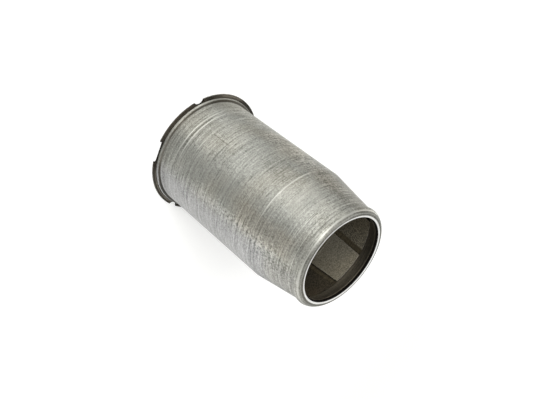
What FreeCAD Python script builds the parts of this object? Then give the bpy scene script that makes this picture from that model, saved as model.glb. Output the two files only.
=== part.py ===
import FreeCAD, Part
import math
import os
import Sketcher

# A flanged steel sleeve: a straight barrel with a tapered nose, a rolled mouth and a notched rear flange.
# It stands on the flange's rear face, with the origin at the centre of that face and +Z towards the mouth.
doc = FreeCAD.newDocument("flanged_taper_sleeve")

# driving dimensions, in millimetres and degrees
driving_sizes = [
    ("overall_length", 86.2, "rear face of the flange to the mouth"),
    ("barrel_diameter", 50.0, "outside of the straight barrel"),
    ("tube_wall", 0.8, "wall of the barrel tube"),
    ("fit_clearance", 0.1, "radial room between a spigot and its socket, and under a ring"),
    ("spigot_wall", 0.8, "wall of the spigots inside the barrel"),
    ("spigot_length", 5.0, "how far a spigot goes into the barrel"),
    ("collar_length", 9.2, "rear face to the joint between collar and barrel"),
    ("seat_step", 0.4, "step of the collar that the flange and the retaining ring are pushed up to"),
    ("seam_chamfer", 0.15, "bevel on both edges of an outside joint"),
    ("scribe_rise", 2.3, "joint between collar and barrel to the scribed line"),
    ("scribe_width", 0.3, "width of a scribed line"),
    ("scribe_depth", 0.1, "depth of a scribed line"),
    ("nose_length", 24.9, "joint at the start of the taper to the mouth"),
    ("nose_narrowing", 3.35, "how far the taper comes in before the lip starts"),
    ("nose_wall", 0.6, "wall of the taper"),
    ("lip_length", 3.95, "joint between taper and lip to the mouth"),
    ("lip_roll", 1.95, "outside of the taper's end to the crest of the rolled lip"),
    ("lip_spigot_wall", 0.45, "wall of the lip's spigot inside the nose"),
    ("lip_spigot_length", 2.3, "how far the lip's spigot goes into the nose"),
    ("mouth_rim", 1.0, "crest of the rolled lip to the clear opening"),
    ("mouth_land", 1.7, "depth of the straight stretch inside the mouth"),
    ("mouth_edge_radius", 0.5, "rounding of the mouth's inner edge"),
    ("liner_count", 8, "number of liner segments"),
    ("liner_thickness", 0.55, "thickness of a liner segment"),
    ("liner_gap_angle", 6.2, "angle of the gap between two segments"),
    ("liner_gap_place", 64.9, "direction of the first gap"),
    ("liner_ledge_rise", 1.3, "joint at the start of the taper to the ledge the segments stand on"),
    ("liner_front_gap", 0.45, "room between the lip's spigot and the segments"),
    ("flange_width", 2.8, "outside of the barrel to the flange's rim"),
    ("flange_thickness", 0.8, "thickness of the flange"),
    ("flange_edge", 0.12, "bevel of the flange's rim"),
    ("flange_line_inset", 0.9, "flange's rim to the scribed circle on its front face"),
    ("ring_width", 1.2, "outside of the barrel to the outside of the retaining ring"),
    ("ring_thickness", 1.1, "height of the retaining ring"),
    ("ring_edge_radius", 0.3, "rounding of the retaining ring's front edge"),
    ("notch_depth", 1.6, "flange's rim to the floor of a notch"),
    ("round_notch_radius", 2.4, "radius of the two round notches"),
    ("round_notch_place", 238.0, "direction of the first round notch"),
    ("far_notch_place", 8.0, "direction of the second round notch"),
    ("wide_notch_place", 297.2, "direction of the wide notch"),
    ("wide_notch_width", 9.4, "width of the wide notch"),
    ("wide_notch_corner", 0.6, "rounding of the wide notch's inner corners"),
]
sheet = doc.addObject("Spreadsheet::Sheet", "Sizes")
for row, (alias, value, note) in enumerate(driving_sizes, start=1):
    sheet.set(f"A{row}", note)
    sheet.set(f"B{row}", str(value))
    sheet.setAlias(f"B{row}", alias)

# radii and heights that follow from the driving dimensions
derived_places = [
    ("base", "0"),
    ("barrel_radius", "Sizes.barrel_diameter / 2"),
    ("barrel_bore", "barrel_radius - Sizes.tube_wall"),
    ("spigot_radius", "barrel_bore - Sizes.fit_clearance"),
    ("sleeve_bore", "spigot_radius - Sizes.spigot_wall"),
    ("collar_top", "Sizes.collar_length"),
    ("collar_spigot_top", "collar_top + Sizes.spigot_length"),
    ("mouth_top", "Sizes.overall_length"),
    ("nose_seam", "mouth_top - Sizes.nose_length"),
    ("nose_tail", "nose_seam - Sizes.spigot_length"),
    ("lip_seam", "mouth_top - Sizes.lip_length"),
    ("nose_front_radius", "barrel_radius - Sizes.nose_narrowing"),
    ("taper", "(barrel_radius - nose_front_radius) / (lip_seam - nose_seam)"),
    ("nose_wall_run", "Sizes.nose_wall * sqrt(1 + taper * taper)"),
    ("nose_front_bore", "nose_front_radius - nose_wall_run"),
    ("lip_spigot_end", "lip_seam - Sizes.lip_spigot_length"),
    ("liner_front", "lip_spigot_end - Sizes.liner_front_gap"),
    ("liner_rear", "nose_seam + Sizes.liner_ledge_rise"),
    ("bore_at_liner_rear", "nose_front_bore + taper * (lip_seam - liner_rear)"),
    ("bore_at_liner_front", "nose_front_bore + taper * (lip_seam - liner_front)"),
    ("liner_rear_back", "bore_at_liner_rear - Sizes.fit_clearance"),
    ("liner_rear_face", "liner_rear_back - Sizes.liner_thickness"),
    ("liner_front_back", "bore_at_liner_front - Sizes.fit_clearance"),
    ("liner_front_face", "liner_front_back - Sizes.liner_thickness"),
    ("lip_spigot_root", "nose_front_bore - Sizes.fit_clearance"),
    ("lip_spigot_root_bore", "lip_spigot_root - Sizes.lip_spigot_wall"),
    ("lip_spigot_tip", "lip_spigot_root + taper * (lip_seam - lip_spigot_end)"),
    ("lip_spigot_tip_bore", "lip_spigot_tip - Sizes.lip_spigot_wall"),
    ("lip_crest", "nose_front_radius - Sizes.lip_roll"),
    ("mouth_radius", "lip_crest - Sizes.mouth_rim"),
    ("mouth_land_end", "mouth_top - Sizes.mouth_land"),
    ("flange_radius", "barrel_radius + Sizes.flange_width"),
    ("flange_top", "Sizes.flange_thickness"),
    ("ring_radius", "barrel_radius + Sizes.ring_width"),
    ("ring_top", "flange_top + Sizes.ring_thickness"),
    ("seat_radius", "barrel_radius - Sizes.seat_step"),
    ("seat_top", "ring_top + Sizes.fit_clearance"),
    ("ring_bore", "seat_radius + Sizes.fit_clearance"),
    ("scribe_floor", "barrel_radius - Sizes.scribe_depth"),
    ("scribe_middle", "collar_top + Sizes.scribe_rise"),
    ("scribe_low", "scribe_middle - Sizes.scribe_width / 2"),
    ("scribe_high", "scribe_middle + Sizes.scribe_width / 2"),
    ("face_line_radius", "flange_radius - Sizes.flange_line_inset"),
    ("face_line_inside", "face_line_radius - Sizes.scribe_width / 2"),
    ("face_line_outside", "face_line_radius + Sizes.scribe_width / 2"),
    ("face_line_floor", "flange_top - Sizes.scribe_depth"),
    ("notch_floor", "flange_radius - Sizes.notch_depth"),
    ("round_notch_centre", "notch_floor + Sizes.round_notch_radius"),
    ("notch_reach", "flange_radius + Sizes.flange_thickness"),
    ("liner_pitch", "360 / Sizes.liner_count"),
    ("liner_sweep", "liner_pitch - Sizes.liner_gap_angle"),
]
places = doc.addObject("App::VarSet", "Places")
for name, formula in derived_places:
    places.addProperty("App::PropertyFloat", name)
    places.setExpression(name, formula)
doc.recompute()


def origin_feature(body, role):
    return next(item for item in body.Origin.OriginFeatures if item.Role == role)


def sketch_on(body, name, role):
    sketch = body.newObject("Sketcher::SketchObject", name)
    sketch.AttachmentSupport = (origin_feature(body, role), [""])
    sketch.MapMode = "FlatFace"
    return sketch


def bind(sketch, constraint, formula):
    # adds one dimension and ties it to its formula
    index = sketch.addConstraint(constraint)
    sketch.setExpression(f"Constraints[{index}]", formula)


def outline(sketch, corners, lip_side=None):
    # closed outline through corners given as (radius, height) names; one side may be an arc
    # that is level at the lip's crest
    points = [FreeCAD.Vector(getattr(places, r), getattr(places, h), 0) for r, h in corners]
    count = len(points)
    for side, start in enumerate(points):
        end = points[(side + 1) % count]
        if side == lip_side:
            crest = places.lip_crest
            drop = (start.x - crest) ** 2 + start.y ** 2 - (end.x - crest) ** 2 - end.y ** 2
            centre = FreeCAD.Vector(crest, drop / (2 * (start.y - end.y)), 0)
            middle = (start + end) / 2 - centre
            middle.Length = (end - centre).Length
            sketch.addGeometry(Part.Arc(start, centre + middle, end), False)
        else:
            sketch.addGeometry(Part.LineSegment(start, end), False)
    for side in range(count):
        sketch.addConstraint(Sketcher.Constraint("Coincident", side, 2, (side + 1) % count, 1))
    for side, (radius, height) in enumerate(corners):
        point = points[side]
        bind(sketch, Sketcher.Constraint("DistanceX", -1, 1, side, 1, point.x), f"Places.{radius}")
        if height == "base":
            sketch.addConstraint(Sketcher.Constraint("PointOnObject", side, 1, -1))
        else:
            bind(sketch, Sketcher.Constraint("DistanceY", -1, 1, side, 1, point.y), f"Places.{height}")
    if lip_side is not None:
        bind(sketch, Sketcher.Constraint("DistanceX", -1, 1, lip_side, 3, crest), "Places.lip_crest")


def new_body(name):
    body = doc.addObject("PartDesign::Body", name)
    body.Label = name
    return body


def turn(body, corners, lip_side=None):
    # a full revolution of the outline about the sleeve's axis
    sketch = sketch_on(body, f"{body.Name}_outline", "XZ_Plane")
    outline(sketch, corners, lip_side)
    solid = body.newObject("PartDesign::Revolution", f"{body.Name}_turn")
    solid.Profile = sketch
    solid.ReferenceAxis = (sketch, ["V_Axis"])
    solid.Angle = 360
    doc.recompute()
    return solid


def scribe(body, corners):
    # a fine line cut all round, with a V section through three corners
    before = body.Shape.Volume
    sketch = sketch_on(body, f"{body.Name}_scribe_outline", "XZ_Plane")
    outline(sketch, corners)
    cut = body.newObject("PartDesign::Groove", f"{body.Name}_scribe")
    cut.Profile = sketch
    cut.ReferenceAxis = (sketch, ["V_Axis"])
    cut.Angle = 360
    doc.recompute()
    if body.Shape.Volume >= before:
        raise RuntimeError(f"the scribed line on {body.Label} cut nothing")


def circle_edges(shape, radius, height):
    # names of the full-circle edges of this radius at this height
    names = []
    for number, edge in enumerate(shape.Edges, start=1):
        curve = edge.Curve
        if isinstance(curve, Part.Circle) and len(edge.Vertexes) == 1:
            if abs(curve.Radius - radius) < 1e-4 and abs(curve.Center.z - height) < 1e-4:
                names.append(f"Edge{number}")
    return names


def bevel(body, radius, height, size_name):
    # a small chamfer on the circular edges at that radius and height
    base = body.Tip
    chamfer = body.newObject("PartDesign::Chamfer", f"{body.Name}_bevel")
    chamfer.Base = (base, circle_edges(base.Shape, radius, height))
    chamfer.setExpression("Size", f"Sizes.{size_name}")
    doc.recompute()


def rounding(body, radius, height, size_name):
    # a fillet on the circular edges at that radius and height
    base = body.Tip
    fillet = body.newObject("PartDesign::Fillet", f"{body.Name}_rounding")
    fillet.Base = (base, circle_edges(base.Shape, radius, height))
    fillet.setExpression("Radius", f"Sizes.{size_name}")
    doc.recompute()


# rear collar: a short tube with a stepped seat for flange and ring, and a spigot that enters the barrel
rear_collar = new_body("rear_collar")
turn(rear_collar, [
    ("sleeve_bore", "base"), ("seat_radius", "base"), ("seat_radius", "seat_top"),
    ("barrel_radius", "seat_top"), ("barrel_radius", "collar_top"), ("spigot_radius", "collar_top"),
    ("spigot_radius", "collar_spigot_top"), ("sleeve_bore", "collar_spigot_top"),
])
bevel(rear_collar, places.barrel_radius, places.collar_top, "seam_chamfer")

# barrel: a plain tube between the collar's shoulder and the nose's shoulder
barrel_tube = new_body("barrel_tube")
turn(barrel_tube, [
    ("barrel_bore", "collar_top"), ("barrel_radius", "collar_top"),
    ("barrel_radius", "nose_seam"), ("barrel_bore", "nose_seam"),
])
bevel(barrel_tube, places.barrel_radius, places.collar_top, "seam_chamfer")
bevel(barrel_tube, places.barrel_radius, places.nose_seam, "seam_chamfer")
scribe(barrel_tube, [
    ("barrel_radius", "scribe_low"), ("barrel_radius", "scribe_high"), ("scribe_floor", "scribe_middle"),
])

# nose: a thin taper with a tail spigot, and a ledge inside that carries the liner segments
nose_cone = new_body("nose_cone")
turn(nose_cone, [
    ("sleeve_bore", "nose_tail"), ("spigot_radius", "nose_tail"), ("spigot_radius", "nose_seam"),
    ("barrel_radius", "nose_seam"), ("nose_front_radius", "lip_seam"), ("nose_front_bore", "lip_seam"),
    ("bore_at_liner_rear", "liner_rear"), ("sleeve_bore", "liner_rear"),
])
bevel(nose_cone, places.barrel_radius, places.nose_seam, "seam_chamfer")

# mouth ring: a rolled bead whose spigot seats inside the nose and holds the segments down
mouth_ring = new_body("mouth_ring")
turn(mouth_ring, [
    ("lip_spigot_tip", "lip_spigot_end"), ("lip_spigot_root", "lip_seam"), ("nose_front_radius", "lip_seam"),
    ("lip_crest", "mouth_top"), ("mouth_radius", "mouth_top"), ("mouth_radius", "mouth_land_end"),
    ("lip_spigot_root_bore", "lip_seam"), ("lip_spigot_tip_bore", "lip_spigot_end"),
], lip_side=2)
rounding(mouth_ring, places.mouth_radius, places.mouth_top, "mouth_edge_radius")

# retaining ring: stands on the flange, between it and the collar's step
retaining_ring = new_body("retaining_ring")
turn(retaining_ring, [
    ("ring_bore", "flange_top"), ("ring_radius", "flange_top"),
    ("ring_radius", "ring_top"), ("ring_bore", "ring_top"),
])
rounding(retaining_ring, places.ring_radius, places.ring_top, "ring_edge_radius")

# flange: a thin ring with one wide and two round notches in its rim
flange_ring = new_body("flange_ring")
turn(flange_ring, [
    ("ring_bore", "base"), ("flange_radius", "base"),
    ("flange_radius", "flange_top"), ("ring_bore", "flange_top"),
])
bevel(flange_ring, places.flange_radius, places.base, "flange_edge")
bevel(flange_ring, places.flange_radius, places.flange_top, "flange_edge")
scribe(flange_ring, [
    ("face_line_inside", "flange_top"), ("face_line_radius", "face_line_floor"),
    ("face_line_outside", "flange_top"),
])


def notch_sketch(name, place_name):
    # a sketch on the flange's rear face, turned so that its X axis points along the notch
    sketch = sketch_on(flange_ring, name, "XY_Plane")
    about_axis = FreeCAD.Rotation(FreeCAD.Vector(0, 0, 1), 1)
    sketch.AttachmentOffset = FreeCAD.Placement(FreeCAD.Vector(), about_axis)
    sketch.setExpression("AttachmentOffset.Rotation.Angle", f"Sizes.{place_name}")
    return sketch


def cut_notch(sketch):
    # cuts the sketched notch up through the flange's whole thickness
    before = flange_ring.Shape.Volume
    pocket = flange_ring.newObject("PartDesign::Pocket", f"{sketch.Name}_cut")
    pocket.Profile = sketch
    pocket.Type = "ThroughAll"
    pocket.Reversed = True
    doc.recompute()
    if flange_ring.Shape.Volume >= before:
        raise RuntimeError(f"{sketch.Name} cut nothing")


for notch_name, notch_place in (("round_notch", "round_notch_place"), ("far_notch", "far_notch_place")):
    notch = notch_sketch(notch_name, notch_place)
    centre = FreeCAD.Vector(places.round_notch_centre, 0, 0)
    notch.addGeometry(Part.Circle(centre, FreeCAD.Vector(0, 0, 1), sheet.round_notch_radius), False)
    notch.addConstraint(Sketcher.Constraint("PointOnObject", 0, 3, -1))
    bind(notch, Sketcher.Constraint("DistanceX", -1, 1, 0, 3, centre.x), "Places.round_notch_centre")
    bind(notch, Sketcher.Constraint("Radius", 0, sheet.round_notch_radius), "Sizes.round_notch_radius")
    cut_notch(notch)

wide_notch = notch_sketch("wide_notch", "wide_notch_place")
half_width = sheet.wide_notch_width / 2
wide_corners = [
    FreeCAD.Vector(places.notch_floor, -half_width, 0), FreeCAD.Vector(places.notch_reach, -half_width, 0),
    FreeCAD.Vector(places.notch_reach, half_width, 0), FreeCAD.Vector(places.notch_floor, half_width, 0),
]
for side in range(4):
    wide_notch.addGeometry(Part.LineSegment(wide_corners[side], wide_corners[(side + 1) % 4]), False)
for side in range(4):
    wide_notch.addConstraint(Sketcher.Constraint("Coincident", side, 2, (side + 1) % 4, 1))
for side in (0, 2):
    wide_notch.addConstraint(Sketcher.Constraint("Horizontal", side))
wide_notch.addConstraint(Sketcher.Constraint("Vertical", 1))
wide_notch.addConstraint(Sketcher.Constraint("Symmetric", 0, 1, 3, 1, -1))
bind(wide_notch, Sketcher.Constraint("DistanceY", 0, 1, 3, 1, 2 * half_width), "Sizes.wide_notch_width")
bind(wide_notch, Sketcher.Constraint("DistanceX", -1, 1, 0, 1, places.notch_floor), "Places.notch_floor")
bind(wide_notch, Sketcher.Constraint("DistanceX", -1, 1, 1, 1, places.notch_reach), "Places.notch_reach")
cut_notch(wide_notch)
notched = flange_ring.Tip
corner_edges = []
for number, edge in enumerate(notched.Shape.Edges, start=1):
    low, high = edge.Vertexes[0].Point, edge.Vertexes[-1].Point
    upright = (FreeCAD.Vector(low.x, low.y, 0) - FreeCAD.Vector(high.x, high.y, 0)).Length < 1e-6
    if upright and abs(math.hypot(low.x, low.y) - math.hypot(places.notch_floor, half_width)) < 1e-4:
        corner_edges.append(f"Edge{number}")
corners = flange_ring.newObject("PartDesign::Fillet", "wide_notch_corners")
corners.Base = (notched, corner_edges)
corners.setExpression("Radius", "Sizes.wide_notch_corner")

# liner segments: equal curved plates round the inside of the nose, a narrow gap between each two
liner_segments = []
for number in range(1, int(sheet.liner_count) + 1):
    segment = new_body(f"liner_segment_{number}")
    plate = turn(segment, [
        ("liner_rear_face", "liner_rear"), ("liner_rear_back", "liner_rear"),
        ("liner_front_back", "liner_front"), ("liner_front_face", "liner_front"),
    ])
    plate.setExpression("Angle", "Places.liner_sweep")
    segment.Placement = FreeCAD.Placement(FreeCAD.Vector(), FreeCAD.Rotation(FreeCAD.Vector(0, 0, 1), number))
    first_edge = "Sizes.liner_gap_place + Sizes.liner_gap_angle / 2"
    segment.setExpression("Placement.Rotation.Angle", f"{first_edge} + {number - 1} * Places.liner_pitch")
    liner_segments.append(segment)
doc.recompute()

# every object must have recomputed cleanly and every sub-part must be one sound solid
sub_parts = [flange_ring, retaining_ring, rear_collar, barrel_tube, nose_cone, mouth_ring] + liner_segments
for item in doc.Objects:
    if "Invalid" in item.State or "Error" in item.State:
        raise RuntimeError(f"{item.Name} failed: {item.State}")
for item in sub_parts:
    if item.Shape.isNull() or not item.Shape.isValid() or len(item.Shape.Solids) != 1:
        raise RuntimeError(f"{item.Label} is not one valid solid")

os.makedirs("parts", exist_ok=True)
for item in sub_parts:
    item.Shape.exportStep(f"parts/{item.Label}.step")
    box = item.Shape.BoundBox
    print(f"{item.Label}: {item.Shape.Volume:.1f} mm3, from height {box.ZMin:.2f} to {box.ZMax:.2f}")
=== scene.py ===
import bpy
import bmesh
import math
from mathutils import Matrix, Vector


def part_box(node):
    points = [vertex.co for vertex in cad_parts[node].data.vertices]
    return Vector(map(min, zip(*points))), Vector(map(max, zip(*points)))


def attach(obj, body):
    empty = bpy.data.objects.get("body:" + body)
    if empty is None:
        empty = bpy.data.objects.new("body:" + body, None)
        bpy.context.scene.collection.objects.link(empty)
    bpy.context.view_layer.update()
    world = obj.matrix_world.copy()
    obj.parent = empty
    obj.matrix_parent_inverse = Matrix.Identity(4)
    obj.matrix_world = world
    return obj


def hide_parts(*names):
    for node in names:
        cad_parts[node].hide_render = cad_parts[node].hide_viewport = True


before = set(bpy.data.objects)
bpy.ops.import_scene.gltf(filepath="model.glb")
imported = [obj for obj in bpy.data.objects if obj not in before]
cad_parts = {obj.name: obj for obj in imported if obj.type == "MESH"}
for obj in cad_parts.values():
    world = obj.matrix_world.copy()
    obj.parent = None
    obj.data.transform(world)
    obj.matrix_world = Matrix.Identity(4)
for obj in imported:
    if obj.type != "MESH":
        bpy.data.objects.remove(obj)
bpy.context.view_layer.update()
print("frame loaded:", len(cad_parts), "CAD nodes")

mm = 0.001
wholeTurn = 2 * math.pi
samePlace = 1e-6        # m, two places nearer than this are one
mergeReach = 1e-7       # m, doubles nearer than this are merged after a spin

# turning ridges on the outside: one wave at the tool's advance in one turn and a weaker one at half of it
ridges = {
    "pitch": 2.86, "nosePitch": 1.48,       # mm
    "depth": 0.003,                         # mm, in the mesh
    "points": 8,                            # profile points on one pitch
    "swing": 0.65,                          # share of the depth that the waves take
    "halfWave": 0.45,                       # strength of the weaker wave
    "halfLag": 1.8,                         # radians, how far it lags behind in the material
}


# small helpers

def hexColor(text):
    # sRGB hex to the linear colour that a shader wants
    channels = [int(text[i:i + 2], 16) / 255 for i in (1, 3, 5)]
    linear = [value / 12.92 if value <= 0.04045 else ((value + 0.055) / 1.055) ** 2.4
              for value in channels]
    return (*linear, 1.0)


def inMillimetres(length):
    # metres to mm, rounded to a micron
    return round(length / mm, 3)


def footOf(node):
    return inMillimetres(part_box(node)[0].z)


def topOf(node):
    return inMillimetres(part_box(node)[1].z)


def radiusOf(node):
    # outer radius of a CAD node that runs right round the axis
    return inMillimetres(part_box(node)[1].x)


def roundPlace(radius, degrees, height=0.0):
    # a place at this distance from the axis, in this direction round it
    angle = math.radians(degrees)
    return (radius * math.cos(angle), radius * math.sin(angle), height)


def near(place, other):
    return (Vector(place) - Vector(other)).length < samePlace


def clearSelection():
    if bpy.context.mode != "OBJECT":
        bpy.ops.object.mode_set(mode="OBJECT")
    bpy.ops.object.select_all(action="DESELECT")


def pickOnly(piece):
    clearSelection()
    piece.select_set(True)
    bpy.context.view_layer.objects.active = piece


def pickVerts(piece, test):
    # selects the vertices whose place passes the test, with the edges and faces between them
    mesh = bmesh.from_edit_mesh(piece.data)
    for face in mesh.faces:
        face.select = False
    for edge in mesh.edges:
        edge.select = False
    for vert in mesh.verts:
        vert.select = test(vert.co)
    mesh.select_flush(True)
    bmesh.update_edit_mesh(piece.data)


def drawProfile(name, corners):
    # one vertex extruded from corner to corner, then closed; corners are (radius, height) in mm
    clearSelection()
    bpy.ops.mesh.primitive_plane_add(size=mm, location=(0, 0, 0))
    piece = bpy.context.object
    piece.name = piece.data.name = name
    bpy.ops.object.mode_set(mode="EDIT")
    bpy.ops.mesh.select_mode(type="VERT")
    bpy.ops.mesh.select_all(action="SELECT")
    bpy.ops.mesh.merge(type="CENTER")
    places = [(radius * mm, 0, height * mm) for radius, height in corners]
    bpy.ops.transform.translate(value=places[0])
    for start, end in zip(places, places[1:]):
        step = Vector(end) - Vector(start)
        bpy.ops.mesh.extrude_region_move(TRANSFORM_OT_translate={"value": step})
    pickVerts(piece, lambda co: near(co, places[0]) or near(co, places[-1]))
    bpy.ops.mesh.edge_face_add()
    return piece


def roundCorner(piece, corner, radius, segments):
    # rounds one corner of the drawn profile before it is spun
    place = (corner[0] * mm, 0, corner[1] * mm)
    pickVerts(piece, lambda co: near(co, place))
    bpy.ops.mesh.bevel(offset=radius * mm, segments=segments, affect="VERTICES")


def spinProfile(piece, steps, angle=wholeTurn):
    # turns the closed profile about the sleeve's axis and closes the skin
    bpy.ops.mesh.select_all(action="SELECT")
    ringCloses = angle == wholeTurn
    if not ringCloses:
        bpy.ops.mesh.edge_face_add()
        bpy.ops.mesh.select_all(action="SELECT")
    bpy.ops.mesh.spin(steps=steps, angle=angle, use_auto_merge=ringCloses,
                      center=(0, 0, 0), axis=(0, 0, 1))
    bpy.ops.mesh.select_all(action="SELECT")
    bpy.ops.mesh.remove_doubles(threshold=mergeReach)
    bpy.ops.mesh.normals_make_consistent(inside=False)
    bpy.ops.object.mode_set(mode="OBJECT")


def smoothShade(piece, degrees=35):
    pickOnly(piece)
    bpy.ops.object.shade_smooth_by_angle(angle=math.radians(degrees))


def applyModifier(piece, modifier):
    pickOnly(piece)
    bpy.ops.object.modifier_apply(modifier=modifier.name)


def bevelEdges(piece, width, segments, degrees):
    # rounds the edges that turn by more than this angle
    modifier = piece.modifiers.new("edges", "BEVEL")
    modifier.width = width * mm
    modifier.segments = segments
    modifier.limit_method = "ANGLE"
    modifier.angle_limit = math.radians(degrees)
    applyModifier(piece, modifier)


def deletePiece(piece):
    pickOnly(piece)
    bpy.ops.object.delete()


def cutWith(piece, cutter):
    # takes the cutter's shape out of the piece
    modifier = piece.modifiers.new("cut", "BOOLEAN")
    modifier.operation = "DIFFERENCE"
    modifier.solver = "EXACT"
    modifier.object = cutter
    applyModifier(piece, modifier)
    deletePiece(cutter)


def settle(piece, node, material):
    # the finished piece takes the CAD node's place on the sleeve
    piece.data.materials.clear()
    piece.data.materials.append(material)
    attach(piece, "root")
    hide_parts(node)


def paintFaces(piece, material, test):
    # gives another material to the faces whose centre (radius, height in mm) and normal pass the test
    if material.name not in piece.data.materials:
        piece.data.materials.append(material)
    number = piece.data.materials.find(material.name)
    for face in piece.data.polygons:
        centre, normal = face.center, face.normal
        reach = math.hypot(centre.x, centre.y)
        outward = (normal.x * centre.x + normal.y * centre.y) / reach
        if test(reach / mm, centre.z / mm, outward, normal.z):
            face.material_index = number


# limits on a face's normal: its share away from the axis, or its share upwards
facing = {"inward": -0.5, "lipInward": -0.3, "flat": 0.95, "upward": 0.5, "wall": 0.3, "plateSide": 0.7}


# materials

def addNode(tree, kind, settings=None, inputs=None):
    # one node with its settings; an input is a value, or a socket that it is linked to
    node = tree.nodes.new(kind)
    for key, value in (settings or {}).items():
        setattr(node, key, value)
    for key, value in (inputs or {}).items():
        if isinstance(value, bpy.types.NodeSocket):
            tree.links.new(value, node.inputs[key])
        else:
            node.inputs[key].default_value = value
    return node


def newMaterial(name):
    material = bpy.data.materials.new(name)
    material.use_nodes = True
    tree = material.node_tree
    shader = tree.nodes["Principled BSDF"]
    return material, tree, shader


# turned and brushed carbon steel: fine lines run round the axis, so a light is drawn out along it
turnedSteel = {
    "light": "#A8A8A1",         # bare steel on the crests of the turning lines
    "dark": "#56564F",          # the same in their valleys, with a thin film of oxide
    "warm": "#857B68",          # faint warm stain
    "cool": "#787C7C",          # faint blue film
    "stain": "#8A7A62",         # oil burnt brown
    "film": "#8F8F8E",          # the plain grey of a finely polished side
    "level": 0.5,               # share of the light colour
    "metallic": 1.0,
    "specular": 0.5,
    "roughness": 0.55,
    "roughnessSpread": 0.14,
    "anisotropy": 0.75,
    "anisotropyTurn": 0.25,                   # a quarter turn off the tangent, which runs round the axis
    "waveSize": 7, "waveRise": 0.35,          # mm, how far and how high the lines wander
    "feedPitch": ridges["pitch"],             # mm, as the ridges
    "feedCrest": 28.8,                        # mm, height of one light crest
    "linePitch": 0.5, "lineLength": 26,       # mm, the lines that can be followed by eye
    "finePitch": 0.34, "fineLength": 6,       # mm, brushing between them
    "blotchSize": 12, "tintSize": 20,         # mm
    "grainSize": 0.6,                         # mm, drawn coarser than real so that it shows
    "pitSize": 1.0,                           # mm, coarser pitting in the rough zones
    "edgeSize": 1.5, "edgeReach": 4,          # mm, how finely and how far the edges of the zones wander
    "feedWeight": 0.07, "lineWeight": 0.85, "fineWeight": 1.1,
    "blotchWeight": 0.3, "grainWeight": 1.3,
    "tintStrength": 0.12,
    "warmTo": 0.4, "coolFrom": 0.6,           # the tint's noise is warm below this and cool above that
    "brokenTo": 0.3, "wholeFrom": 0.5,        # hairlines and scratches fade between these line noises
    "lineDepth": 0.004,         # mm
    "zones": (),                # worn, stained or polished places, and places of painted light or shade: degrees round the axis and mm along it
    "hairlines": (),            # light or dark lines round the axis, mostly painted highlights and painted shade lines
    "scratches": (),            # lines along the barrel
}
scratchEdge = {"reach": 0.2, "fade": 0.35, "blend": 2}      # degrees, degrees and mm
noiseMiddle = 0.5


def patternNoise(tree, place, along, around, detail):
    # noise with spots this long along the axis and this wide round it, in mm
    stretch = (1000 / around, 1000 / around, 1000 / along)
    space = addNode(tree, "ShaderNodeMapping", None, {"Vector": place, "Scale": stretch})
    return addNode(tree, "ShaderNodeTexNoise", None,
                   {"Vector": space.outputs[0], "Scale": 1.0, "Detail": detail, "Roughness": 0.55})


def layered(tree, total, pattern, weight, centre=0.0):
    # adds a pattern, less its centre, to the running total
    offset = addNode(tree, "ShaderNodeMath", {"operation": "SUBTRACT"}, {0: pattern, 1: centre})
    return addNode(tree, "ShaderNodeMath", {"operation": "MULTIPLY_ADD"},
                   {0: offset.outputs[0], 1: weight, 2: total}).outputs[0]


def cylinderTangent(tree, place):
    # runs round the axis at every point
    cross = addNode(tree, "ShaderNodeVectorMath", {"operation": "CROSS_PRODUCT"},
                    {0: (0, 0, 1), 1: place})
    return addNode(tree, "ShaderNodeVectorMath", {"operation": "NORMALIZE"},
                   {0: cross.outputs[0]}).outputs[0]


def nearValue(tree, value, centre, reach, fade):
    # 1 within reach of the centre, then down to 0 over the fade
    offset = addNode(tree, "ShaderNodeMath", {"operation": "SUBTRACT"}, {0: value, 1: centre})
    away = addNode(tree, "ShaderNodeMath", {"operation": "ABSOLUTE"}, {0: offset.outputs[0]})
    return addNode(tree, "ShaderNodeMapRange", {"interpolation_type": "SMOOTHSTEP"},
                   {"Value": away.outputs[0], "From Min": reach, "From Max": reach + fade,
                    "To Min": 1.0, "To Max": 0.0}).outputs[0]


def placeMeasures(tree, place):
    # direction round the axis in radians, height and radius in metres
    parts = addNode(tree, "ShaderNodeSeparateXYZ", None, {"Vector": place})
    turn = addNode(tree, "ShaderNodeMath", {"operation": "ARCTAN2"},
                   {0: parts.outputs["Y"], 1: parts.outputs["X"]})
    flat = addNode(tree, "ShaderNodeVectorMath", {"operation": "MULTIPLY"}, {0: place, 1: (1, 1, 0)})
    reach = addNode(tree, "ShaderNodeVectorMath", {"operation": "LENGTH"}, {0: flat.outputs[0]})
    return {"turn": turn.outputs[0], "height": parts.outputs["Z"], "radius": reach.outputs["Value"]}


def zoneMask(tree, measures, zone):
    # 1 inside the zone and 0 outside it
    across = nearValue(tree, measures["turn"], math.radians(zone["place"]),
                       math.radians(zone["reach"]), math.radians(zone["fade"]))
    if "height" not in zone:
        return across
    along = nearValue(tree, measures["height"], zone["height"] * mm, zone["rise"] * mm,
                      zone["blend"] * mm)
    return addNode(tree, "ShaderNodeMath", {"operation": "MULTIPLY"}, {0: across, 1: along}).outputs[0]


def wanderingPlace(tree, place, look):
    # the place, shifted a little along the axis from spot to spot, so that the lines wander
    wave = patternNoise(tree, place, look["waveSize"], look["waveSize"], 1.0).outputs["Fac"]
    rise = addNode(tree, "ShaderNodeMath", {"operation": "MULTIPLY"},
                   {0: wave, 1: look["waveRise"] * mm})
    shift = addNode(tree, "ShaderNodeCombineXYZ", None, {"Z": rise.outputs[0]})
    return addNode(tree, "ShaderNodeVectorMath", {"operation": "ADD"},
                   {0: place, 1: shift.outputs[0]}).outputs[0]


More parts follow.
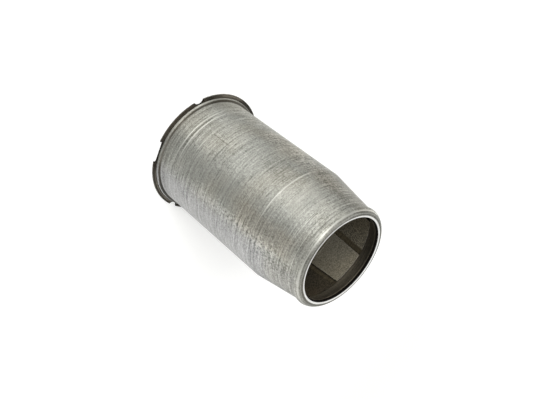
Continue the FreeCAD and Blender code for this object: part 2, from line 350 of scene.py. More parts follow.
def raggedPlace(tree, place, look):
    # the place, shifted a little to all sides from spot to spot, so that the zones have ragged edges
    spots = patternNoise(tree, place, look["edgeSize"], look["edgeSize"], 2.0).outputs["Color"]
    reach = look["edgeReach"] * mm
    shift = addNode(tree, "ShaderNodeVectorMath", {"operation": "MULTIPLY_ADD"},
                    {0: spots, 1: (reach, reach, reach), 2: (-reach / 2, -reach / 2, -reach / 2)})
    return addNode(tree, "ShaderNodeVectorMath", {"operation": "ADD"},
                   {0: place, 1: shift.outputs[0]}).outputs[0]


def turningMarks(tree, place, look):
    # light and dark along the ridges
    height = addNode(tree, "ShaderNodeSeparateXYZ", None, {"Vector": place}).outputs["Z"]
    total = 0.0
    for share, lag, weight in ((1, 0.0, 1.0), (2, ridges["halfLag"], ridges["halfWave"])):
        pace = share * wholeTurn * 1000 / look["feedPitch"]
        turns = addNode(tree, "ShaderNodeMath", {"operation": "MULTIPLY_ADD"},
                        {0: height, 1: pace, 2: -pace * look["feedCrest"] * mm - lag})
        wave = addNode(tree, "ShaderNodeMath", {"operation": "COSINE"}, {0: turns.outputs[0]})
        total = layered(tree, total, wave.outputs[0], weight * look["feedWeight"])
    return total


def drawnLines(tree, shade, measures, broken, look):
    # hairlines round the axis, at a height or on a radius, and scratches along it
    drawnAll = []
    for line in look["hairlines"]:
        kind = "radius" if "radius" in line else "height"
        drawn = nearValue(tree, measures[kind], line[kind] * mm, line["width"] / 2 * mm,
                          line["width"] * mm)
        if "place" in line:
            arc = {key: line[key] for key in ("place", "reach", "fade")}
            ends = zoneMask(tree, measures, arc)
            drawn = addNode(tree, "ShaderNodeMath", {"operation": "MULTIPLY"},
                            {0: drawn, 1: ends}).outputs[0]
        drawnAll.append((drawn, line["strength"]))
    for scratch in look["scratches"]:
        drawnAll.append((zoneMask(tree, measures, {**scratch, **scratchEdge}), scratch["strength"]))
    for drawn, strength in drawnAll:
        parts = addNode(tree, "ShaderNodeMath", {"operation": "MULTIPLY"}, {0: drawn, 1: broken})
        shade = layered(tree, shade, parts.outputs[0], strength)
    return shade


def makeTurnedSteel(name, look):
    material, tree, shader = newMaterial(name)
    place = addNode(tree, "ShaderNodeTexCoord").outputs["Object"]
    measures = placeMeasures(tree, place)
    wandering = wanderingPlace(tree, place, look)
    lines = patternNoise(tree, wandering, look["linePitch"], look["lineLength"], 2.0).outputs["Fac"]
    fine = patternNoise(tree, wandering, look["finePitch"], look["fineLength"], 1.0).outputs["Fac"]
    blotches = patternNoise(tree, place, look["blotchSize"], look["blotchSize"], 2.0).outputs["Fac"]
    grain = patternNoise(tree, place, look["grainSize"], look["grainSize"], 1.0).outputs["Fac"]
    texture = turningMarks(tree, wandering, look)
    for pattern, weight in ((lines, "lineWeight"), (fine, "fineWeight"),
                            (blotches, "blotchWeight"), (grain, "grainWeight")):
        texture = layered(tree, texture, pattern, look[weight], noiseMiddle)
    level, strength = look["level"], 1.0
    tints = {"stain": 0.0, "film": 0.0}
    if look["zones"]:
        ragged = placeMeasures(tree, raggedPlace(tree, place, look))
        pits = patternNoise(tree, place, look["pitSize"], look["pitSize"], 2.0).outputs["Fac"]
    for zone in look["zones"]:
        mask = zoneMask(tree, ragged, zone)
        if "pitting" in zone:
            pitted = layered(tree, 0.0, pits, zone["pitting"], noiseMiddle)
            texture = layered(tree, texture, mask, pitted)
        if "calm" in zone:
            strength = layered(tree, strength, mask, -zone["calm"])
        if "shade" in zone:
            level = layered(tree, level, mask, zone["shade"])
        for tint in tints:
            if tint in zone:
                tints[tint] = layered(tree, tints[tint], mask, zone[tint])
    shade = layered(tree, level, texture, strength)
    broken = addNode(tree, "ShaderNodeMapRange", None,
                     {"Value": lines, "From Min": look["brokenTo"], "From Max": look["wholeFrom"]})
    shade = drawnLines(tree, shade, measures, broken.outputs[0], look)
    steelColor = addNode(tree, "ShaderNodeMix", {"data_type": "RGBA"},
                         {"Factor": shade, "A": hexColor(look["dark"]), "B": hexColor(look["light"])})
    spots = patternNoise(tree, place, look["tintSize"], look["tintSize"], 2.0).outputs["Fac"]
    cooler = addNode(tree, "ShaderNodeMapRange", None,
                     {"Value": spots, "From Min": look["warmTo"], "From Max": look["coolFrom"]})
    tintColor = addNode(tree, "ShaderNodeMix", {"data_type": "RGBA"},
                        {"Factor": cooler.outputs[0], "A": hexColor(look["warm"]),
                         "B": hexColor(look["cool"])})
    finish = addNode(tree, "ShaderNodeMix", {"data_type": "RGBA"},
                     {"Factor": look["tintStrength"], "A": steelColor.outputs["Result"],
                      "B": tintColor.outputs["Result"]}).outputs["Result"]
    for tint, share in tints.items():
        if share != 0.0:
            finish = addNode(tree, "ShaderNodeMix", {"data_type": "RGBA", "blend_type": "COLOR"},
                             {"Factor": share, "A": finish, "B": hexColor(look[tint])}).outputs["Result"]
    rough = layered(tree, look["roughness"], blotches, look["roughnessSpread"], noiseMiddle)
    bump = addNode(tree, "ShaderNodeBump", None,
                   {"Height": shade, "Distance": look["lineDepth"] * mm, "Strength": 1.0})
    shader.inputs["Metallic"].default_value = look["metallic"]
    shader.inputs["Specular IOR Level"].default_value = look["specular"]
    shader.inputs["Anisotropic"].default_value = look["anisotropy"]
    shader.inputs["Anisotropic Rotation"].default_value = look["anisotropyTurn"]
    tree.links.new(rough, shader.inputs["Roughness"])
    tree.links.new(finish, shader.inputs["Base Color"])
    tree.links.new(cylinderTangent(tree, place), shader.inputs["Tangent"])
    tree.links.new(bump.outputs[0], shader.inputs["Normal"])
    return material


# the outside of the sleeve: the same steel in use, with painted highlights along the seams, painted shade
# lines, a double scratch, and rough, stained and polished places
outsideSteel = {
    **turnedSteel,
    "hairlines": (
        # painted highlights where the seams, the scribed line, the ring's edge and the bead's crest catch the
        # light, strongest on the side towards the left softbox; a painted shadow line at the ring's foot; a
        # darker line beside the rear seam and a faint light line below the lip
        {"height": 0.9, "width": 0.3, "strength": -1.5, "place": -63, "reach": 9, "fade": 4},
        {"height": 1.3, "width": 0.3, "strength": 1.1, "place": -113, "reach": 34, "fade": 8},
        {"height": 9.25, "width": 0.24, "strength": 1.6, "place": -98, "reach": 28, "fade": 14},
        {"height": 10.4, "width": 0.3, "strength": -0.5, "place": -101, "reach": 18, "fade": 8},
        {"height": 11.35, "width": 0.2, "strength": 1.1, "place": -102, "reach": 22, "fade": 14},
        {"height": 61.4, "width": 0.22, "strength": 1.4, "place": -104, "reach": 42, "fade": 5},
        {"height": 80.6, "width": 0.15, "strength": 0.5},
        {"height": 85.25, "width": 0.22, "strength": 1.2}),
    "zones": (
        # quieter turning in the middle of the barrel, along its shaded band and on the nose
        {"place": -102, "reach": 26, "fade": 14, "height": 54, "rise": 14, "blend": 10, "calm": 0.2},
        {"place": -75, "reach": 7, "fade": 8, "height": 30, "rise": 13, "blend": 8, "calm": 0.3},
        {"place": -112, "reach": 12, "fade": 10, "height": 71.5, "rise": 3, "blend": 2, "calm": 0.25},
        # rough strip with a painted highlight along its edge, where the band of reflected light begins; the
        # strip leans over to the side on the nose
        {"place": -56.5, "reach": 3, "fade": 3.5, "height": 50, "rise": 19, "blend": 6,
         "pitting": 1.5, "shade": 0.13},
        {"place": -50, "reach": 9, "fade": 7, "height": 57, "rise": 14, "blend": 6, "pitting": 0.6},
        {"place": -44, "reach": 10, "fade": 8, "height": 76, "rise": 8, "blend": 5, "pitting": 0.8},
        {"place": -66, "reach": 7, "fade": 10, "height": 64, "rise": 10, "blend": 8, "stain": 0.16},
        # finely polished side, darker towards the mouth
        {"place": -18, "reach": 16, "fade": 16, "height": 34, "rise": 26, "blend": 12,
         "calm": 0.15, "shade": 0.02},
        {"place": -22, "reach": 19, "fade": 22, "height": 28, "rise": 34, "blend": 9, "film": 0.95},
        {"place": -24, "reach": 21, "fade": 12, "height": 73, "rise": 9, "blend": 4, "shade": -0.1},
        {"place": -28, "reach": 14, "fade": 12, "height": 79, "rise": 3, "blend": 4, "shade": -0.12},
        {"place": -24, "reach": 16, "fade": 16, "height": 75, "rise": 8, "blend": 4, "film": 0.4},
        # dull patch on the barrel
        {"place": -120, "reach": 5, "fade": 9, "height": 53, "rise": 6, "blend": 8, "shade": -0.14},
        # rougher, darker and faintly brown places on the far side and at the back; the darkening on the nose
        # there is painted shade
        {"place": -148, "reach": 9, "fade": 8, "height": 52, "rise": 18, "blend": 7,
         "pitting": 1.3, "stain": 0.1},
        # painted shade on the nose's upturned side, with a faint real stain
        {"place": -157, "reach": 10, "fade": 12, "height": 74, "rise": 11, "blend": 4,
         "shade": -0.34, "stain": 0.1},
        {"place": -157, "reach": 10, "fade": 8, "height": 34, "rise": 24, "blend": 6, "calm": -0.4},
        {"place": 120, "reach": 20, "fade": 14, "height": 40, "rise": 16, "blend": 14, "pitting": 1.0}),
    "scratches": (
        {"place": -107.6, "height": 23.2, "rise": 3.6, "strength": -0.5},
        {"place": -109.8, "height": 26.0, "rise": 11.0, "strength": 0.25}),
}
steel = makeTurnedSteel("turned carbon steel", outsideSteel)

# the nose was turned with a finer feed, so its marks stand closer
noseSteel = makeTurnedSteel("finer turned carbon steel", {
    **outsideSteel, "feedPitch": ridges["nosePitch"], "feedCrest": 70.5, "feedWeight": 0.05})

# hot-oil blackened steel: brown-black and dull, with a painted sheen towards its two sides, where the face is
# seen at a slant, and painted highlight lines on its face there
darkSteel = makeTurnedSteel("oil-blackened steel", {
    **turnedSteel, "light": "#8E887C", "dark": "#221F1B", "warm": "#4A4034", "cool": "#3A3A38",
    "level": 0.13, "feedWeight": 0.0, "lineWeight": 0.15, "fineWeight": 0.2, "blotchWeight": 0.1,
    "grainWeight": 0.3,
    "zones": (
        # painted sheen towards one side, where the face is seen at a slant
        {"place": -155, "reach": 2, "fade": 23, "shade": 0.3},
        {"place": -110, "reach": 5, "fade": 8, "shade": -0.05},
        {"place": -76, "reach": 4, "fade": 8, "shade": 0.06},
        # a weaker painted sheen towards the other side
        {"place": -16, "reach": 6, "fade": 24, "shade": 0.1}),
    "hairlines": (
        # painted highlight lines on the face near its two sides
        {"radius": 27.15, "width": 0.25, "strength": 0.8, "place": -160, "reach": 6, "fade": 13},
        {"radius": 26.75, "width": 0.3, "strength": 0.6, "place": -18, "reach": 18, "fade": 14})})

# the ring's front face: darkened partly by the same oil and partly as painted shade of the narrow slot
# against the barrel; lighter by the wide notch and darker at both sides
ringSteel = makeTurnedSteel("oil-darkened ring face", {
    **turnedSteel, "light": "#A5A198", "dark": "#45423C", "level": 0.25, "edgeReach": 1,
    "feedWeight": 0.0, "lineWeight": 0.3, "fineWeight": 0.3, "grainWeight": 0.4,
    "zones": (
        {"place": -65, "reach": 6, "fade": 12, "shade": 0.6},
        {"place": -152, "reach": 8, "fade": 18, "shade": -0.15},
        {"place": 0, "reach": 26, "fade": 20, "shade": -0.1})})

# rolled plate, tinted by heat and dulled by soot: brown-grey and speckled
plateSteel = {
    **turnedSteel, "light": "#BAB39F", "dark": "#524C40", "warm": "#857B64", "cool": "#706D60",
    "metallic": 0.4, "roughness": 0.65, "anisotropy": 0.2, "tintStrength": 0.3, "lineLength": 1.2,
    "grainSize": 0.45, "feedWeight": 0.0, "lineWeight": 0.3, "fineWeight": 0.3, "grainWeight": 1.9}
plateTones = {
    "tinted": makeTurnedSteel("heat-tinted liner steel", plateSteel),
    # the darker tones stand partly for soot and partly for painted shade on the plates either side of the one
    # that faces the upper softbox
    "sootedShaded": makeTurnedSteel("sooted liner steel", {
        **plateSteel, "light": "#9C9581", "dark": "#403B30", "warm": "#5F553F", "cool": "#504C40",
        "grainWeight": 3.4}),
    "blackened": makeTurnedSteel("soot-blackened liner steel", {
        **plateSteel, "light": "#5F5747", "dark": "#251F17", "warm": "#443722", "cool": "#302C20",
        "grainWeight": 6.0})}

# the plates' front edges: a dull, lighter grey as a painted highlight where they catch the light
linerEdgeSteel = makeTurnedSteel("plate edge with painted highlight", {
    **turnedSteel, "light": "#A8A294", "dark": "#5E594D", "metallic": 0.2, "roughness": 0.6,
    "anisotropy": 0.0, "grainWeight": 3.0})

# the inside of the mouth: heat scale on the wall, painted shade black on the rim's inner edge, oil burnt
# brown behind the plates
# painted shade: near black, also on the flange's notch walls and on the plates' sides, where shade falls
shadeBlack = makeTurnedSteel("soot-blackened rim", {
    **turnedSteel, "light": "#15110D", "dark": "#060504", "warm": "#100C08", "cool": "#0B0A08",
    "metallic": 0.0, "specular": 0.08, "roughness": 0.9, "anisotropy": 0.0})
insideSteel = makeTurnedSteel("scaled inner wall", {
    **turnedSteel, "light": "#766E5E", "dark": "#3A352A", "warm": "#5A5040", "cool": "#4B4840",
    "metallic": 0.4, "roughness": 0.6, "anisotropy": 0.4,
    "zones": (
        # painted light on the wall opposite the upper softbox, and painted shade further round
        {"place": 76, "reach": 8, "fade": 14, "shade": 0.35},
        {"place": 135, "reach": 22, "fade": 14, "shade": -0.3})})
gapSteel = makeTurnedSteel("oil-brown wall behind the plates", {
    **turnedSteel, "light": "#6A6049", "dark": "#332D1E", "warm": "#4F412A", "cool": "#3F3B2B",
    "metallic": 0.4, "edgeReach": 0.4,
    "zones": (
        # a lighter strip in the upper gap; painted shadow lines along the plates' edges in the lower gap
        {"place": 112.7, "reach": 0.7, "fade": 0.8, "shade": 0.5},
        {"place": 67.4, "reach": 0.4, "fade": 0.6, "shade": -0.5},
        {"place": 62.6, "reach": 0.4, "fade": 0.6, "shade": -0.5})})

# the bead beside the faced end: dull grey and matt, as painted shade on its outer flank, with a painted shade
# line round it
beadSteel = makeTurnedSteel("matt rolled bead", {
    **turnedSteel, "light": "#9A9A94", "dark": "#5A5A54", "level": 0.6, "metallic": 0.2,
    "specular": 0.1, "roughness": 0.8, "anisotropy": 0.0, "lineWeight": 0.5, "fineWeight": 0.5,
    "hairlines": ({"radius": 20.3, "width": 0.3, "strength": -0.7},)})

# the faced end of the mouth: freshly cut and smooth, drawn almost white as a painted highlight
facedSteel = makeTurnedSteel("faced steel with painted highlight", {
    **turnedSteel, "light": "#F4F4F1", "dark": "#D9D9D5", "warm": "#E4E0D8", "cool": "#DDE0E2",
    "roughness": 0.35, "anisotropy": 0.2, "lineWeight": 0.4})
print("materials made")


# sleeve, in mm: heights and the outside from the frame, the other radii as in the CAD model
sleeve = {
    "steps": 192,
    "outside": radiusOf("barrel_tube"), "barrelBore": 24.2, "spigot": 24.1, "bore": 23.3,
    "seat": 24.6, "seatTop": 2.0,
    "collarTop": footOf("barrel_tube"), "collarEnd": topOf("rear_collar"),
    "noseTail": footOf("nose_cone"), "noseSeam": topOf("barrel_tube"),
    "ledge": footOf("liner_segment_1"), "lipSeam": topOf("nose_cone"), "mouth": topOf("mouth_ring"),
    "noseFront": 21.65, "noseFrontBore": 21.042,
    "seamBevel": 0.15,
}
outside = sleeve["outside"]
bevel = sleeve["seamBevel"]
taper = (outside - sleeve["noseFront"]) / (sleeve["lipSeam"] - sleeve["noseSeam"])


def wallRadius(height):
    # the outside wall: straight up to the nose, tapered from there
    return outside - taper * max(0, height - sleeve["noseSeam"])


def noseBore(height):
    return sleeve["noseFrontBore"] + taper * (sleeve["lipSeam"] - height)


def turnedRun(low, high, pitch):
    # points along the outside wall with shallow turning ridges, from low to high
    count = max(2, round((high - low) / (pitch / ridges["points"])))
    points = []
    for i in range(1, count):
        height = low + (high - low) * i / count
        phase = height * wholeTurn / pitch
        wave = math.sin(phase) + ridges["halfWave"] * math.sin(2 * phase)
        points.append((wallRadius(height) - ridges["depth"] * (1 + ridges["swing"] * wave), height))
    return points


# rear collar
collarCorners = [
    (sleeve["bore"], 0), (sleeve["seat"], 0), (sleeve["seat"], sleeve["seatTop"]),
    (outside, sleeve["seatTop"]),
]
collarCorners += turnedRun(sleeve["seatTop"], sleeve["collarTop"] - bevel, ridges["pitch"])
collarCorners += [
    (outside, sleeve["collarTop"] - bevel), (outside - bevel, sleeve["collarTop"]),
    (sleeve["spigot"], sleeve["collarTop"]), (sleeve["spigot"], sleeve["collarEnd"]),
    (sleeve["bore"], sleeve["collarEnd"]),
]
rearCollar = drawProfile("rearCollar", collarCorners)
spinProfile(rearCollar, sleeve["steps"])
smoothShade(rearCollar)
settle(rearCollar, "rear_collar", steel)

# barrel with its scribed line
scribe = {"height": 11.5, "width": 0.3, "depth": 0.1}
scribeLow = scribe["height"] - scribe["width"] / 2
scribeHigh = scribe["height"] + scribe["width"] / 2
barrelCorners = [
    (sleeve["barrelBore"], sleeve["collarTop"]), (outside - bevel, sleeve["collarTop"]),
    (outside, sleeve["collarTop"] + bevel),
]
barrelCorners += turnedRun(sleeve["collarTop"] + bevel, scribeLow, ridges["pitch"])
barrelCorners += [
    (outside, scribeLow), (outside - scribe["depth"], scribe["height"]), (outside, scribeHigh),
]
barrelCorners += turnedRun(scribeHigh, sleeve["noseSeam"] - bevel, ridges["pitch"])
barrelCorners += [
    (outside, sleeve["noseSeam"] - bevel), (outside - bevel, sleeve["noseSeam"]),
    (sleeve["barrelBore"], sleeve["noseSeam"]),
]
barrel = drawProfile("barrelTube", barrelCorners)
spinProfile(barrel, sleeve["steps"])
smoothShade(barrel)
settle(barrel, "barrel_tube", steel)
print("collar and barrel turned")

# liner plates in the nose, in mm and degrees
liner = {
    "count": 8, "front": topOf("liner_segment_1"), "thickness": 0.55, "clearance": 0.1,
    "gapAngle": 6.2, "gapPlace": 64.9,
    "steps": 30, "edge": 0.06, "edgeSegments": 2, "edgeAngle": 40,
    # tones round the bore: the darker ones are partly soot and partly painted shade
    "tones": ("tinted", "sootedShaded", "tinted", "sootedShaded", "tinted", "sootedShaded", "tinted", "blackened"),
}

# nose, brown behind the plates
noseCorners = [
    (sleeve["bore"], sleeve["noseTail"]), (sleeve["spigot"], sleeve["noseTail"]),
    (sleeve["spigot"], sleeve["noseSeam"]), (outside - bevel, sleeve["noseSeam"]),
    (wallRadius(sleeve["noseSeam"] + bevel), sleeve["noseSeam"] + bevel),
]
noseCorners += turnedRun(sleeve["noseSeam"] + bevel, sleeve["lipSeam"], ridges["nosePitch"])
noseCorners += [
    (sleeve["noseFront"], sleeve["lipSeam"]), (sleeve["noseFrontBore"], sleeve["lipSeam"]),
    (noseBore(liner["front"]), liner["front"]), (noseBore(sleeve["ledge"]), sleeve["ledge"]),
    (sleeve["bore"], sleeve["ledge"]),
]
nose = drawProfile("noseCone", noseCorners)
spinProfile(nose, sleeve["steps"])
smoothShade(nose)
settle(nose, "nose_cone", noseSteel)
paintFaces(nose, insideSteel, lambda radius, height, outward, up: outward < facing["inward"])
paintFaces(nose, gapSteel, lambda radius, height, outward, up:
           outward < facing["inward"] and height < liner["front"])

# mouth ring, in mm: the rolled bead is an arc from the nose to the crest
mouth = {
    "crest": 19.7, "opening": 18.7, "landEnd": 84.5, "rimLow": 84.95,
    "faceInside": 19.06, "faceOutside": 19.78, "faceLow": 85.98, "faceDrop": 0.005, "dullTo": 20.9,
    "spigotWall": 0.45, "spigotEnd": footOf("mouth_ring"), "clearance": 0.1,
    "edge": 0.36, "edgeSegments": 6, "beadPoints": 18,
}
rise = sleeve["mouth"] - sleeve["lipSeam"]
run = sleeve["noseFront"] - mouth["crest"]
beadRadius = (rise ** 2 + run ** 2) / (2 * rise)
beadCentre = sleeve["mouth"] - beadRadius
startAngle = math.atan2(sleeve["lipSeam"] - beadCentre, run)
spigotRoot = sleeve["noseFrontBore"] - mouth["clearance"]
spigotTip = spigotRoot + taper * (sleeve["lipSeam"] - mouth["spigotEnd"])
mouthCorners = [(spigotTip, mouth["spigotEnd"]), (spigotRoot, sleeve["lipSeam"])]
for i in range(mouth["beadPoints"] + 1):
    angle = startAngle + (math.pi / 2 - startAngle) * i / mouth["beadPoints"]
    radius = mouth["crest"] + beadRadius * math.cos(angle)
    if radius > mouth["faceOutside"]:
        mouthCorners.append((radius, beadCentre + beadRadius * math.sin(angle)))
mouthCorners += [
    (mouth["faceOutside"], sleeve["mouth"] - mouth["faceDrop"]), (mouth["opening"], mouth["faceLow"]),
    (mouth["opening"], mouth["rimLow"]), (mouth["opening"], mouth["landEnd"]),
    (spigotRoot - mouth["spigotWall"], sleeve["lipSeam"]),
    (spigotTip - mouth["spigotWall"], mouth["spigotEnd"]),
]
mouthRing = drawProfile("mouthRing", mouthCorners)
roundCorner(mouthRing, (mouth["opening"], mouth["faceLow"]), mouth["edge"], mouth["edgeSegments"])
spinProfile(mouthRing, sleeve["steps"])
smoothShade(mouthRing)
settle(mouthRing, "mouth_ring", noseSteel)
paintFaces(mouthRing, insideSteel, lambda radius, height, outward, up: outward < facing["lipInward"])
# painted shade: the rim's inner edge and the wall just below it are black
paintFaces(mouthRing, shadeBlack, lambda radius, height, outward, up:
           radius < mouth["faceInside"] and height > mouth["rimLow"])
# painted highlight: the faced end is drawn almost white
paintFaces(mouthRing, facedSteel, lambda radius, height, outward, up:
           up > facing["flat"] and mouth["faceInside"] < radius < mouth["faceOutside"])
# painted shade on the bead's outer flank
paintFaces(mouthRing, beadSteel, lambda radius, height, outward, up:
           up > facing["upward"] and mouth["faceOutside"] < radius < mouth["dullTo"])
print("nose and mouth ring turned")

# retaining ring on the flange, in mm
ring = {
    "low": footOf("retaining_ring"), "high": topOf("retaining_ring"),
    "bore": 24.7, "outside": radiusOf("retaining_ring"), "edge": 0.3, "edgeSegments": 5,
    "flatTo": 25.88,        # holds the front face flat, up to its rounded edge
    "darkTo": 25.97,        # the oil and the painted shade reach a little way round that edge
}
ringCorners = [
    (ring["bore"], ring["low"]), (ring["outside"], ring["low"]), (ring["outside"], ring["high"]),
    (ring["flatTo"], ring["high"]), (ring["bore"], ring["high"]),
]
retainingRing = drawProfile("retainingRing", ringCorners)
roundCorner(retainingRing, (ring["outside"], ring["high"]), ring["edge"], ring["edgeSegments"])
spinProfile(retainingRing, sleeve["steps"])
smoothShade(retainingRing)
settle(retainingRing, "retaining_ring", steel)
# painted shade of the slot against the barrel, on the ring's front face and a little way round its edge
paintFaces(retainingRing, ringSteel, lambda radius, height, outward, up:
           radius < ring["darkTo"] and height > ring["low"])

# flange with one wide and two round notches, in mm and degrees
flange = {
    "steps": 384, "bore": 24.7, "rim": radiusOf("flange_ring"), "top": topOf("flange_ring"), "edge": 0.12,
    "line": 26.9, "lineWidth": 0.3, "lineDepth": 0.1,
    "notchFloor": 26.2,                                     # radius that the notches reach
    "roundPlaces": (238.0, 8.0), "roundRadius": 2.4, "roundSteps": 64,
    "widePlace": 297.2, "wideWidth": 9.4, "wideCorner": 0.6, "cornerSegments": 6, "cornerAngle": 30,
    "cutterSize": 4, "smoothAngle": 30,
    "sootFrom": 25, "sootTo": 27.65,                        # radii between which the notches' walls are painted black as shade
}
flangeCorners = [
    (flange["bore"], 0), (flange["rim"] - flange["edge"], 0), (flange["rim"], flange["edge"]),
    (flange["rim"], flange["top"] - flange["edge"]), (flange["rim"] - flange["edge"], flange["top"]),
    (flange["line"] + flange["lineWidth"] / 2, flange["top"]),
    (flange["line"], flange["top"] - flange["lineDepth"]),
    (flange["line"] - flange["lineWidth"] / 2, flange["top"]), (flange["bore"], flange["top"]),
]
flangeRing = drawProfile("flangeRing", flangeCorners)
spinProfile(flangeRing, flange["steps"])
for place in flange["roundPlaces"]:
    reach = (flange["notchFloor"] + flange["roundRadius"]) * mm
    clearSelection()
    bpy.ops.mesh.primitive_cylinder_add(vertices=flange["roundSteps"], radius=flange["roundRadius"] * mm,
                                        depth=flange["cutterSize"] * mm,
                                        location=roundPlace(reach, place))
    cutWith(flangeRing, bpy.context.object)
clearSelection()
bpy.ops.mesh.primitive_cube_add(size=1, location=(0, 0, 0))
wideCutter = bpy.context.object
wideCutter.scale = (flange["cutterSize"] * mm, flange["wideWidth"] * mm, flange["cutterSize"] * mm)
bpy.ops.object.transform_apply(location=False, rotation=False, scale=True)
bevelEdges(wideCutter, flange["wideCorner"], flange["cornerSegments"], flange["cornerAngle"])
reach = (flange["notchFloor"] + flange["cutterSize"] / 2) * mm
wideCutter.location = roundPlace(reach, flange["widePlace"])
wideCutter.rotation_euler = (0, 0, math.radians(flange["widePlace"]))
cutWith(flangeRing, wideCutter)
smoothShade(flangeRing, flange["smoothAngle"])
settle(flangeRing, "flange_ring", darkSteel)
# painted shade on the notches' walls
paintFaces(flangeRing, shadeBlack, lambda radius, height, outward, up:
           abs(up) < facing["wall"] and flange["sootFrom"] < radius < flange["sootTo"])
print("flange and ring made")

# one liner plate, modelled once and copied round the bore
backRear = noseBore(sleeve["ledge"]) - liner["clearance"]
backFront = noseBore(liner["front"]) - liner["clearance"]
sweep = math.radians(360 / liner["count"] - liner["gapAngle"])
plateCorners = [
    (backRear - liner["thickness"], sleeve["ledge"]), (backRear, sleeve["ledge"]),
    (backFront, liner["front"]), (backFront - liner["thickness"], liner["front"]),
]
plate = drawProfile("linerPlate1", plateCorners)
spinProfile(plate, liner["steps"], sweep)
bevelEdges(plate, liner["edge"], liner["edgeSegments"], liner["edgeAngle"])
firstEnd = math.radians(liner["gapPlace"] - liner["gapAngle"] / 2)    # the spin ran backwards from the X axis
for number, tone in enumerate(liner["tones"], start=1):
    copy = plate.copy()
    copy.data = plate.data.copy()
    copy.name = copy.data.name = f"linerPlate_{number}"
    bpy.context.collection.objects.link(copy)
    copy.data.transform(Matrix.Rotation(firstEnd + number * wholeTurn / liner["count"], 4, "Z"))
    smoothShade(copy)
    settle(copy, f"liner_segment_{number}", plateTones[tone])
    if tone != "blackened":
        # painted highlight on the plates' front edges
        paintFaces(copy, linerEdgeSteel, lambda radius, height, outward, up: up > facing["upward"])
    # painted shade on the plates' sides, in the gaps between them
    paintFaces(copy, shadeBlack, lambda radius, height, outward, up:
               abs(outward) < facing["plateSide"] and abs(up) < facing["upward"])
deletePiece(plate)
print("liner plates placed")

# floor, light and camera, in metres
studio = {
    "floorSize": 6.0, "floorColor": "#E8E8E6",
    "floorDrop": 0.00002,                               # keeps the floor just clear of the flange's rear face
    "worldGlow": 0.6, "nearGlow": 0.3, "farGlow": 0.55,     # the floor stays white where no lamp reaches it
    "glowStart": 0.3, "glowEnd": 0.6,                   # distances from the sleeve's foot
    "aimHeight": 0.045,                                 # the lamps point at the middle of the sleeve
}
clearSelection()
bpy.ops.mesh.primitive_plane_add(size=studio["floorSize"], location=(0, 0, -studio["floorDrop"]))
floor = bpy.context.object
floor.name = "floor"


def seenWhite(tree):
    # 1 for camera, glossy and transmission rays, 0 for the others
    path = addNode(tree, "ShaderNodeLightPath")
    either = addNode(tree, "ShaderNodeMath", {"operation": "MAXIMUM"},
                     {0: path.outputs["Is Camera Ray"], 1: path.outputs["Is Glossy Ray"]})
    return addNode(tree, "ShaderNodeMath", {"operation": "MAXIMUM"},
                   {0: either.outputs[0], 1: path.outputs["Is Transmission Ray"]}).outputs[0]


# matt paper: plain white without gloss, so only the sleeve's shadow shows on it
paper, tree, shader = newMaterial("matt white paper")
shader.inputs["Base Color"].default_value = hexColor(studio["floorColor"])
shader.inputs["Roughness"].default_value = 0.9
shader.inputs["Specular IOR Level"].default_value = 0.0
shader.inputs["Emission Color"].default_value = (1, 1, 1, 1)
spot = addNode(tree, "ShaderNodeTexCoord").outputs["Object"]
away = addNode(tree, "ShaderNodeVectorMath", {"operation": "LENGTH"}, {0: spot}).outputs["Value"]
glow = addNode(tree, "ShaderNodeMapRange", {"interpolation_type": "SMOOTHSTEP"},
               {"Value": away, "From Min": studio["glowStart"], "From Max": studio["glowEnd"],
                "To Min": studio["nearGlow"], "To Max": studio["farGlow"]}).outputs[0]
shown = addNode(tree, "ShaderNodeMath", {"operation": "MULTIPLY"}, {0: seenWhite(tree), 1: glow})
tree.links.new(shown.outputs[0], shader.inputs["Emission Strength"])
floor.data.materials.append(paper)

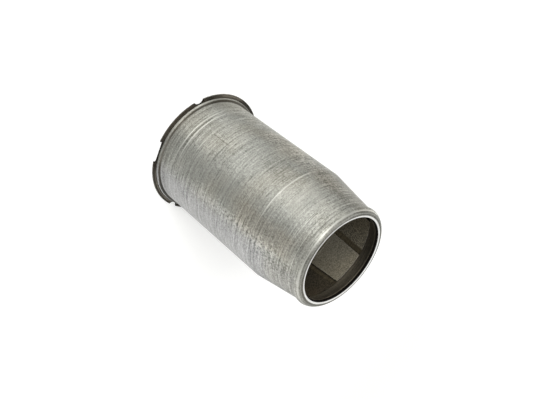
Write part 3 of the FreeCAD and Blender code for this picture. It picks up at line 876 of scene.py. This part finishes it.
world = bpy.data.worlds.new("white studio")
bpy.context.scene.world = world
world.use_nodes = True
tree = world.node_tree
background = tree.nodes["Background"]
background.inputs["Color"].default_value = (1, 1, 1, 1)
strength = addNode(tree, "ShaderNodeMapRange", None,
                   {"Value": seenWhite(tree), "To Min": studio["worldGlow"], "To Max": 1.0})
tree.links.new(strength.outputs[0], background.inputs["Strength"])

# softboxes: degrees, metres and watts
lamps = {
    "left softbox": {"azimuth": 232, "distance": 0.55, "height": 0.045,
                     "width": 0.75, "tall": 0.08, "power": 2.5},
    "right softbox": {"azimuth": 2, "distance": 0.55, "height": 0.045,
                      "width": 0.90, "tall": 0.08, "power": 2.5},
    "rear softbox": {"azimuth": 145, "distance": 0.55, "height": 0.045,
                     "width": 0.55, "tall": 0.08, "power": 1.0},
    "upper softbox": {"azimuth": 254, "distance": 0.42, "height": 0.55,
                      "width": 0.24, "tall": 0.24, "power": 2.6},
}
for name, lamp in lamps.items():
    clearSelection()
    bpy.ops.object.light_add(type="AREA",
                             location=roundPlace(lamp["distance"], lamp["azimuth"], lamp["height"]))
    light = bpy.context.object
    light.name = name
    light.data.shape = "RECTANGLE"
    light.data.size = lamp["width"]
    light.data.size_y = lamp["tall"]
    light.data.energy = lamp["power"]
    aim = Vector((0, 0, studio["aimHeight"])) - light.location
    light.rotation_euler = aim.to_track_quat("-Z", "Y").to_euler()
    light.visible_camera = False

# the camera looks down on the upright sleeve and is rolled, so that the sleeve lies across the picture
camera = {
    "place": (-0.000179, -0.259658, 0.224747),      # m
    "tilt": 54.8292, "roll": 128.5124,              # degrees up from straight down, and about its own view
    "focal": 780.5, "frameWidth": 534,              # pixels
    "sensorWidth": 36,                              # mm
    "clipStart": 0.01,                              # m
}
bpy.ops.object.camera_add()
eye = bpy.context.object
eye.name = "camera"
tilt = Matrix.Rotation(math.radians(camera["tilt"]), 4, "X")
roll = Matrix.Rotation(math.radians(camera["roll"]), 4, "Z")
eye.matrix_world = Matrix.Translation(camera["place"]) @ tilt @ roll
eye.data.sensor_fit = "HORIZONTAL"
eye.data.sensor_width = camera["sensorWidth"]
eye.data.lens = camera["focal"] / camera["frameWidth"] * camera["sensorWidth"]
eye.data.clip_start = camera["clipStart"]
bpy.context.scene.camera = eye
bpy.context.scene.view_settings.view_transform = "Standard"
print("studio set")
